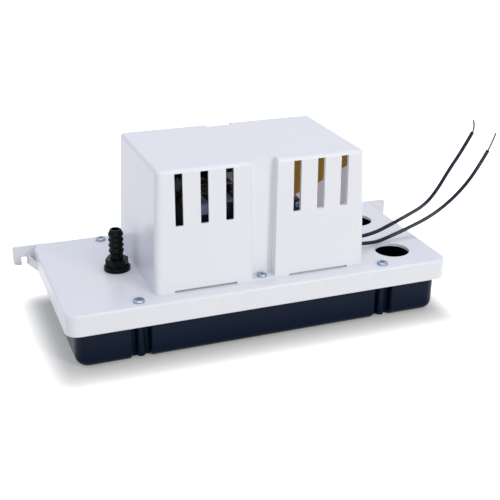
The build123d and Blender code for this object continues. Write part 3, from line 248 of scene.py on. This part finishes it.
def moulding(name, light, dark, gloss, peel=POLISHED_PEEL, edge=0.0005, shine=0.5):
    """Glossy plastic: colour between dark and light, roughness around gloss."""
    made = Finish(name)
    cloud, rough, normal = moulded_skin(made, gloss, peel, edge)
    return made.set(Base_Color=made.blend(cloud, dark, light), Roughness=rough,
                    Specular_IOR_Level=shine, IOR=PLASTIC_IOR, Normal=normal)


finishes = {
    "tank_plastic": moulding(
        "glossy_navy_abs", (0.0026, 0.0095, 0.0270), (0.0018, 0.0072, 0.0215), 0.15,
        edge=0.0009, shine=0.08),
    "barb_plastic": moulding(
        "black_nylon", (0.0028, 0.0035, 0.0040), (0.0018, 0.0023, 0.0026), 0.24,
        DULL_PEEL, shine=0.10),
    "pump_plastic": moulding(
        "black_acetal", (0.022, 0.022, 0.025), (0.016, 0.016, 0.018), 0.40, DULL_PEEL),
    "switch_phenolic": moulding(
        "black_phenolic", (0.016, 0.016, 0.017), (0.010, 0.010, 0.011), 0.45, DULL_PEEL),
    "bobbin_nylon": moulding(
        "natural_nylon", (0.72, 0.69, 0.58), (0.66, 0.62, 0.50), 0.42, DULL_PEEL),
    "white_nylon": moulding(
        "white_nylon", (0.78, 0.78, 0.74), (0.72, 0.72, 0.68), 0.40, DULL_PEEL),
    "tube_vinyl": moulding(
        "cloudy_vinyl", (0.60, 0.62, 0.62), (0.50, 0.53, 0.54), 0.25, peel=1e-5),
    "barrier_paper": moulding(
        "grey_fish_paper", (0.33, 0.34, 0.36), (0.26, 0.27, 0.29), 0.75,
        peel=5e-5, edge=0.0002),
    "fan_plastic": moulding(
        "black_fan_nylon", (0.016, 0.016, 0.019), (0.011, 0.011, 0.013), 0.45, DULL_PEEL),
    "lead_insulation": moulding(
        "navy_pvc", (0.0060, 0.0085, 0.0290), (0.0045, 0.0065, 0.0220), 0.13,
        peel=1e-5, edge=0.0, shine=0.24),
}
print("mouldings", len(finishes))

# %% [markdown]
# ## The motor cover, outside and in
# The white shell is thin enough for some light to come through it, so the roomy switch side looks
# faintly lit from within, while little light reaches the crowded side round the motor. A painted
# glow and painted shade, a dark colour on the inner faces, stand in for both, since a solid lets
# no light through. Splitting the solid would leave a seam, so a mask worked out from the place of
# each point tells its inner faces from the outer ones.

# %% White shell
DECK = 0.0465                          # height of the cover's foot in metres
HOOD_MIDDLE = -0.002                   # its middle from front to back
END_LEAN, SIDE_LEAN = 0.039, 0.0156    # metres that the faces lean in per metre of height
CORNER_LEAN = 0.055                    # the same for the diagonal at a corner
END_WALL = (0.0855, 0.0861)            # limits at the foot, midway through each wall
SIDE_WALL = (0.0545, 0.0550)
CORNER_WALL = (0.1374, 0.1384)
ABOVE_DECK = (0.006, 0.010)            # the mask fades in over these heights above the deck
UNDER_ROOF = (0.1409, 0.1413)          # and out again at these heights
BEYOND = 0.2                           # a limit past both ends of the cover
FADE = 0.001
CHANNEL_HALF = 0.0125                  # half the width between the two sides
# the painted shade ends and the painted glow starts at these limits, and the glow has this strength
PAINTED_SHADE_END, PAINTED_GLOW_START = 0.029, 0.030     # where dark stops and light starts on the switch side
PAINTED_SHELL_GLOW = 0.20


def chamber(made, side, start, stop=BEYOND):
    """1 on the motor cover's inner faces between start and stop metres left (side -1) or right.

    A point is inside if it lies within the end walls, the side walls and the corners, each
    moved in by its lean times the height above the deck.
    """
    across, deep, up = made.axis("X") * side, made.axis("Y"), made.axis("Z")
    height = up - DECK
    from_middle = (deep - HOOD_MIDDLE).size()
    along = across.between(start, start + FADE) * (1.0 - across.between(stop, stop + FADE))
    ends = 1.0 - (across + height * END_LEAN).between(*END_WALL)
    sides = 1.0 - (from_middle + height * SIDE_LEAN).between(*SIDE_WALL)
    corner = 1.0 - (across + from_middle + height * CORNER_LEAN).between(*CORNER_WALL)
    low, high = ABOVE_DECK
    inside = up.between(DECK + low, DECK + high) * (1.0 - up.between(*UNDER_ROOF))
    return along * ends * sides * corner * inside


def thin_shell(name):
    """White ABS, with painted glow inside on the switch side and painted shade round the motor."""
    made = Finish(name)
    cloud, rough, normal = moulded_skin(made, 0.30, POLISHED_PEEL, 0.0005)
    # painted shade: a dark colour on the inner faces round the motor and at the switch side's near
    # end
    dark = chamber(made, -1, CHANNEL_HALF) + chamber(made, 1, CHANNEL_HALF, PAINTED_SHADE_END)
    white = made.blend(cloud, (0.83, 0.83, 0.84), (0.85, 0.85, 0.855))
    # the rest of the switch side's inner faces get a painted glow, light that no lamp gives
    return made.set(
        Base_Color=made.blend(dark, white, (0.035, 0.037, 0.045)),
        Roughness=rough, Specular_IOR_Level=0.32, IOR=PLASTIC_IOR, Normal=normal,
        Emission_Color=made.blend(chamber(made, 1, PAINTED_GLOW_START), (0, 0, 0), (0.86, 0.80, 0.98)),
        Emission_Strength=PAINTED_SHELL_GLOW)


finishes["cover_plastic"] = thin_shell("glossy_white_abs")
print("cover finish has", len(finishes["cover_plastic"].node_tree.nodes), "nodes")

# %% [markdown]
# ## The coil's tape
# The winding is wrapped in tape and dipped in navy varnish. Two pale bluish patches and a streak on
# it are painted highlights, where light catches the coil's rounded top. Separate patches would
# need faces of their own, so rectangles with ragged borders are masked on the same faces.

# %% Varnished tape
# left, right, low and high of each painted highlight in metres, and how strong it is
PAINTED_HIGHLIGHTS = [(-0.0550, -0.0390, 0.1015, 0.1120, 0.80),
                (-0.0550, -0.0390, 0.1190, 0.1208, 0.55),
                (-0.0345, -0.0190, 0.1090, 0.1140, 1.0)]
RAGGED = 0.0016            # metres by which a patch's border wanders up and down
LEVEL_FADE = 0.0006


def varnished_tape(name):
    """Navy varnish over the coil's tape, with painted highlights in two patches and a streak."""
    made = Finish(name)
    cloud = made.noise(260.0, 3.0)
    across, up = made.axis("X"), made.axis("Z") + (cloud - 0.5) * RAGGED
    # bare adds up the painted highlights, pale bluish light on the coil's rounded top
    bare = 0.0
    for left, right, low, high, highlight_strength in PAINTED_HIGHLIGHTS:
        beside = across.between(left, left + FADE) * (1.0 - across.between(right - FADE, right))
        above = up.between(low - LEVEL_FADE, low + LEVEL_FADE)
        below = 1.0 - up.between(high - LEVEL_FADE, high + LEVEL_FADE)
        bare = beside * (above * below) * highlight_strength + bare
    return made.set(Base_Color=made.blend(bare, (0.010, 0.014, 0.040), (0.46, 0.52, 0.74)),
                    Roughness=0.34 + cloud * 0.12, Normal=made.relief(cloud, 3e-5, 0.0004))


finishes["coil_tape"] = varnished_tape("navy_varnished_tape")
print("bare patches", len(PAINTED_HIGHLIGHTS))

# %% [markdown]
# ## Metals, rubber and foam
# Plated screws, ground shafts and yellow passivated sheet differ in two ways: the colour of
# what they mirror and how far their scratches blur it. The brushed ones get noise that is
# squeezed across the rolling direction, and each metal gets a slow drift between two close
# colours, as plated and passivated films show. Painting the scratches as lines would repeat.

# %% Metals
METAL_EDGE = 0.00025       # metres by which an edge is rounded
SCRATCH_ROUGH = 0.18       # how far the scratches move the roughness


def metal(name, light, dark, rough, scratch=(1, 1, 1), scale=900.0, depth=6e-6, drift=30.0):
    """Bare or plated metal, its scratches squeezed by scratch, its colour slowly drifting."""
    made = Finish(name)
    cloud = made.noise(drift)
    lines = made.noise(scale, 3.0, scratch)
    return made.set(Base_Color=made.blend(cloud, dark, light), Metallic=1.0,
                    Roughness=rough + (lines - 0.5) * SCRATCH_ROUGH,
                    Normal=made.relief(lines, depth, METAL_EDGE))


SHEET_PITCH = 0.0005       # thickness of one stamped sheet in metres


def lamination(name):
    """Stacked sheets: a dark groove at every sheet, where the sine of 2 pi z / pitch is low."""
    made = Finish(name)
    cloud = made.noise(60.0)
    ridge = (made.axis("Z") * (2 * pi / SHEET_PITCH)).wave()
    steel = made.blend(ridge.between(-1.0, -0.2), (0.006, 0.007, 0.010), (0.030, 0.033, 0.045))
    return made.set(Base_Color=steel, Metallic=0.5, Roughness=0.45 + cloud * 0.2,
                    Normal=made.relief(ridge, 2e-5))


def rubber(name, colour, rough=0.65):
    """Dull rubber with a dusty bloom."""
    made = Finish(name)
    bloom = made.noise(140.0, 4.0)
    lighter = tuple(c * 1.9 + 0.004 for c in colour)
    return made.set(Base_Color=made.blend(bloom, colour, lighter),
                    Roughness=rough + (bloom - 0.5) * 0.2,
                    Normal=made.relief(bloom, 2e-5, 0.0003))


def foam(name):
    """Closed-cell foam: a skin of small cells from a Voronoi pattern."""
    made = Finish(name)
    cells = made.node("ShaderNodeTexVoronoi", {}, Vector=made.place, Scale=700.0)
    return made.set(Base_Color=made.blend(cells, (0.80, 0.80, 0.77), (0.66, 0.66, 0.63)),
                    Roughness=0.8 + cells * 0.1, Normal=made.relief(cells, 8e-5, 0.0005))


finishes.update({
    "zinc_screw": metal("zinc_plate", (0.40, 0.48, 0.60), (0.26, 0.32, 0.42), 0.24),
    "strap_steel": metal(
        "black_strap", (0.070, 0.075, 0.090), (0.040, 0.043, 0.052), 0.42, (1, 6, 1)),
    "yellow_passivated_steel": metal(
        "yellow_passivate", (0.43, 0.27, 0.050), (0.37, 0.22, 0.044), 0.40, (1, 1, 8)),
    "stainless_steel": metal(
        "ground_stainless", (0.66, 0.66, 0.68), (0.58, 0.58, 0.60), 0.22, (1, 1, 12)),
    "rotor_aluminium": metal(
        "cast_aluminium", (0.60, 0.60, 0.62), (0.46, 0.46, 0.48), 0.45, depth=2e-5),
    "bearing_bronze": metal("oiled_bronze", (0.52, 0.36, 0.17), (0.40, 0.26, 0.12), 0.42),
    "terminal_brass": metal("tab_brass", (0.70, 0.54, 0.24), (0.60, 0.44, 0.18), 0.30),
    "copper": metal(
        "tarnished_copper", (0.24, 0.18, 0.17), (0.10, 0.08, 0.08), 0.40, scale=1500.0),
    "enamelled_wire": metal("enamelled_copper", (0.45, 0.17, 0.06), (0.36, 0.12, 0.04), 0.25),
    "lamination_steel": lamination("stacked_steel"),
    "seal_rubber": rubber("black_nitrile", (0.020, 0.020, 0.021)),
    "float_foam": foam("float_skin"),
})
missing = sorted(set(slot_of.values()) - set(finishes))
print("finishes", len(finishes), "missing", missing)

# %% [markdown]
# ## Putting the finishes on
# Every solid came in with the plain colour of its slot. We keep the solids as they are and
# only swap what sits in their material slots.

# %% Dress every node
for name, node in nodes.items():
    for place in node.material_slots:
        place.material = finishes[slot_of[name]]
print("dressed", len(nodes), "nodes")

# %% [markdown]
# ## The two leads
# A lead is a length of stiff wire that leaves the bushing straight and then curves as it was
# bent by hand. We could sweep a tube through many sampled points, but that shows every arc's
# end as a kink. A quadratic NURBS spline with the route's corners as control points bends
# smoothly everywhere, as wire does, and its bevel gives the round section.

# %% Routes and curves
LEAD_DIAMETER = 0.0032
lead_routes = {
    "lead_lower": [(0.0900, -0.0295, 0.0514), (0.0970, -0.0295, 0.0514), (0.1134, -0.0260, 0.0490),
                   (0.1255, -0.0220, 0.0492), (0.1474, -0.0214, 0.0558), (0.1686, -0.0202, 0.0627),
                   (0.1869, -0.0192, 0.0732), (0.2034, -0.0182, 0.0873), (0.2154, -0.0174, 0.1029),
                   (0.2228, -0.0176, 0.1160)],
    "lead_upper": [(0.0900, -0.0295, 0.0578), (0.0980, -0.0295, 0.0578), (0.1147, -0.0250, 0.0578),
                   (0.1319, -0.0205, 0.0614), (0.1482, -0.0184, 0.0666), (0.1646, -0.0168, 0.0728),
                   (0.1763, -0.0156, 0.0844), (0.1880, -0.0136, 0.1012), (0.2005, -0.0111, 0.1156),
                   (0.2111, -0.0090, 0.1310)],
}
strand_tips = {"lead_lower": (0.2296, -0.0168, 0.1307), "lead_upper": (0.2109, -0.0090, 0.1416)}


def smooth_lead(name, route):
    """A bevelled quadratic NURBS curve whose control points are the route's points."""
    data = bpy.data.curves.new(name, "CURVE")
    data.dimensions = "3D"
    data.bevel_depth = LEAD_DIAMETER / 2
    data.bevel_resolution = 8
    data.resolution_u = 16
    data.use_fill_caps = True
    spline = data.splines.new("NURBS")
    spline.points.add(len(route) - 1)
    for point, place in zip(spline.points, route):
        point.co = (*place, 1.0)
    spline.order_u = 3
    spline.use_endpoint_u = True
    lead = bpy.data.objects.new(name, data)
    scene.collection.objects.link(lead)
    return lead


def centre_line(lead):
    """The points that the curve really follows, read from a copy that has no bevel."""
    bare = lead.data.copy()
    bare.bevel_depth = 0
    holder = bpy.data.objects.new("bare_line", bare)
    line = bpy.data.meshes.new_from_object(holder)
    points = np.empty(len(line.vertices) * 3)
    line.vertices.foreach_get("co", points)
    bpy.data.objects.remove(holder)
    bpy.data.meshes.remove(line)
    return points.reshape(-1, 3)


def line_length(points):
    """The sum of the straight steps between the points."""
    return float(np.linalg.norm(np.diff(points, axis=0), axis=1).sum())


leads, lengths = {}, {}
for name, route in lead_routes.items():
    lead = smooth_lead("free_" + name, route)
    lead.data.materials.append(finishes["lead_insulation"])
    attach(lead, "pump")
    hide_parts(name)
    leads[name], lengths[name] = lead, line_length(centre_line(lead))
    print(name, "length", round(lengths[name], 4))

# %% [markdown]
# ## Bared copper
# Each lead ends in a centimetre or so of bare stranded copper that has tarnished. One plain rod
# would do at arm's length, but six fine wires twisted about a seventh have a rope's outline. Each
# outer wire is a tube carried along a helix: the bundle's line plus a small circle that turns
# with the distance walked. The core's circle has no radius.

# %% Twisted strands
STRAND_RADIUS = 0.00026
BUNDLE_RADIUS = 0.00054    # from the bundle's line to the middle of an outer wire
TWIST_PITCH = 0.009        # metres walked in one full turn
OUTER_WIRES = 6
KNEE = 0.0045              # how far the bundle keeps the lead's direction before it bends
TUCK = 0.0005              # how far it starts inside the insulation
LINE_POINTS = 40           # points along each wire


def unit(rows):
    """Each row divided by its own length."""
    return rows / np.linalg.norm(rows, axis=1, keepdims=True)


def axes_across(line):
    """Two unit vectors square to a line: side = tangent x Y, and other = tangent x side."""
    tangents = unit(np.gradient(line, axis=0))
    side = unit(np.cross(tangents, [0.0, 1.0, 0.0]))
    return side, np.cross(tangents, side)


def tube_along(line, radius, sides=8):
    """A closed tube: point(i) + radius (cos a * side(i) + sin a * other(i)) for a round the ring.

    Gives back its vertices, the quads of its wall and its two end caps.
    """
    side, other = axes_across(line)
    angles = np.linspace(0, 2 * pi, sides, endpoint=False)[None, :, None]
    ring = side[:, None, :] * np.cos(angles) + other[:, None, :] * np.sin(angles)
    vertices = (line[:, None, :] + radius * ring).reshape(-1, 3)
    row = np.arange(len(line) - 1)[:, None] * sides
    column = np.arange(sides)[None, :]
    after = (column + 1) % sides
    quads = np.stack([row + column, row + after, row + sides + after, row + sides + column],
                     axis=-1)
    first = np.arange(sides)
    return vertices, quads.reshape(-1, 4), np.array([first[::-1], first + len(vertices) - sides])


def strand_bundle(name, start, direction, tip):
    """Six wires round a core on the curve (1-t)^2 start + 2t(1-t) knee + t^2 tip.

    A wire's path is line(t) + spread (cos turn * side(t) + sin turn * other(t)), where turn
    grows by a full circle in each pitch walked.
    """
    start, tip = np.array(start), np.array(tip)
    knee = start + np.array(direction) * KNEE
    t = np.linspace(0, 1, LINE_POINTS)[:, None]
    line = (1 - t) ** 2 * start + 2 * t * (1 - t) * knee + t ** 2 * tip
    walked = np.concatenate([[0], np.cumsum(np.linalg.norm(np.diff(line, axis=0), axis=1))])
    side, other = axes_across(line)
    vertices, faces = [], []
    for wire in range(OUTER_WIRES + 1):
        turn = 2 * pi * (walked / TWIST_PITCH + wire / OUTER_WIRES)[:, None]
        spread = 0.0 if wire == OUTER_WIRES else BUNDLE_RADIUS
        path = line + spread * (np.cos(turn) * side + np.sin(turn) * other)
        points, quads, caps = tube_along(path, STRAND_RADIUS)
        shift = wire * len(points)
        faces += (quads + shift).tolist() + (caps + shift).tolist()
        vertices.append(points)
    mesh = bpy.data.meshes.new(name)
    mesh.from_pydata(np.concatenate(vertices).tolist(), [], faces)
    mesh.validate()
    mesh.polygons.foreach_set("use_smooth", [len(face) == 4 for face in faces])
    bundle = bpy.data.objects.new(name, mesh)
    scene.collection.objects.link(bundle)
    return bundle


for name, route in lead_routes.items():
    end, before = np.array(route[-1]), np.array(route[-2])
    onward = (end - before) / np.linalg.norm(end - before)
    bundle = strand_bundle("strands_of_" + name, end - onward * TUCK, onward, strand_tips[name])
    bundle.data.materials.append(finishes["copper"])
    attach(bundle, "pump")
    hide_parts("lead_strands")
    print(bundle.name, "faces", len(bundle.data.polygons))

# %% [markdown]
# ## Studio
# The pump stands on a white sweep. A plain white floor would render grey wherever the lamps don't
# reach, and more light would bleach the pump. So the floor glows for the camera, for glossy
# reflections and through clear pieces: it lights nothing, though glossy faces mirror it. The
# glow dims round the tank's foot. That soft shade is painted in place and follows neither the
# lamps nor a pose, and the pump's real shadow falls on top of it.

# %% Floor
FLOOR_HALF = 6.0
FLOOR_Z = -0.0003         # a hair under the tank, so that the two faces never coincide
FLOOR_COLOUR = (0.84, 0.82, 0.72)
FOOTPRINT = (0.150, 0.064, 1.0)          # half sizes of the tank's foot, no limit upward
SHADE_SHIFT = (0.004, 0.014, 0.0)        # the soft shade leans to the left and to the front
UNDER_GLOW, NEAR_GLOW, FAR_GLOW = 0.15, 0.95, 0.30
FULL_GLOW = NEAR_GLOW + FAR_GLOW         # the most that the floor shines anywhere
SHADE_REACH = 0.040                      # metres from the foot to where the shade has gone
FAR_STEPS = (0.30, 1.60)                 # metres over which the far glow comes in

floor_mesh = bpy.data.meshes.new("studio_floor")
corners = [(-FLOOR_HALF, -FLOOR_HALF, FLOOR_Z), (FLOOR_HALF, -FLOOR_HALF, FLOOR_Z),
           (FLOOR_HALF, FLOOR_HALF, FLOOR_Z), (-FLOOR_HALF, FLOOR_HALF, FLOOR_Z)]
floor_mesh.from_pydata(corners, [], [(0, 1, 2, 3)])
floor = bpy.data.objects.new("studio_floor", floor_mesh)
scene.collection.objects.link(floor)

sweep = Finish("white_sweep")
# distance from the tank's foot: length of max(|p + shift| - footprint, 0)
folded = sweep.vector("ABSOLUTE", sweep.vector("ADD", sweep.place, SHADE_SHIFT))
beyond = sweep.vector("MAXIMUM", sweep.vector("SUBTRACT", folded, FOOTPRINT), (0, 0, 0))
near = sweep.vector("LENGTH", beyond, output="Value").between(0.0, SHADE_REACH)
far = sweep.vector("LENGTH", sweep.place, output="Value").between(*FAR_STEPS)
glow = (UNDER_GLOW + near * (NEAR_GLOW - UNDER_GLOW) + far * FAR_GLOW) * (1 / FULL_GLOW)
floor_mesh.materials.append(sweep.set(
    Base_Color=FLOOR_COLOUR, Roughness=1.0, Specular_IOR_Level=0.0,
    Emission_Color=sweep.blend(glow * sweep.seen_directly(), (0, 0, 0), (FULL_GLOW,) * 3),
    Emission_Strength=1.0))
print("floor", floor.name, "glow up to", round(FULL_GLOW, 2))

# %% [markdown]
# ## Sky and lamps
# A cool sky fills the sides, and the camera sees plain white in its place. Three soft lamps add
# the bright front, top and left. A picture of a studio wrapped round the scene would do as
# well, but square lamps can be moved one at a time.

# %% Sky
SKY_FILL = (0.68, 0.73, 0.98)
SKY_STRENGTH = 0.62
PLAIN_WHITE = (1.0, 1.0, 1.0)

scene.world = bpy.data.worlds.new("studio_sky")
scene.world.use_nodes = True
sky = Graph(scene.world.node_tree)
fill = sky.node("ShaderNodeBackground", {}, (*SKY_FILL, 1.0), SKY_STRENGTH)
white = sky.node("ShaderNodeBackground", {}, (*PLAIN_WHITE, 1.0), 1.0)
seen_sky = sky.node("ShaderNodeMixShader", {}, sky.seen_directly(), fill, white)
sky.node("ShaderNodeOutputWorld", {}, seen_sky)
print("sky", SKY_FILL, SKY_STRENGTH)

# %% Lamps
def softbox(name, place, aim, size, watts, colour):
    """A square area lamp at place that faces aim."""
    data = bpy.data.lights.new(name, "AREA")
    data.shape = "SQUARE"
    data.size = size
    data.energy = watts
    data.color = colour
    lamp = bpy.data.objects.new(name, data)
    lamp.location = place
    lamp.rotation_mode = "QUATERNION"
    lamp.rotation_quaternion = (Vector(place) - Vector(aim)).to_track_quat("Z", "Y")
    scene.collection.objects.link(lamp)
    return lamp


lamps = [
    softbox("front_softbox", place=(0.75, -1.6, 0.75), aim=(0, 0, 0.06),
            size=0.5, watts=9.5, colour=(1.0, 0.985, 0.90)),
    softbox("top_softbox", place=(0.1, 0.1, 1.7), aim=(0, 0, 0.05),
            size=0.8, watts=7.2, colour=(1.0, 0.985, 0.91)),
    softbox("left_softbox", place=(-0.62, -1.50, 0.72), aim=(0, 0, 0.08),
            size=0.25, watts=3.5, colour=(1.0, 0.985, 0.90)),
]
print("lamps", {lamp.name: lamp.data.energy for lamp in lamps})
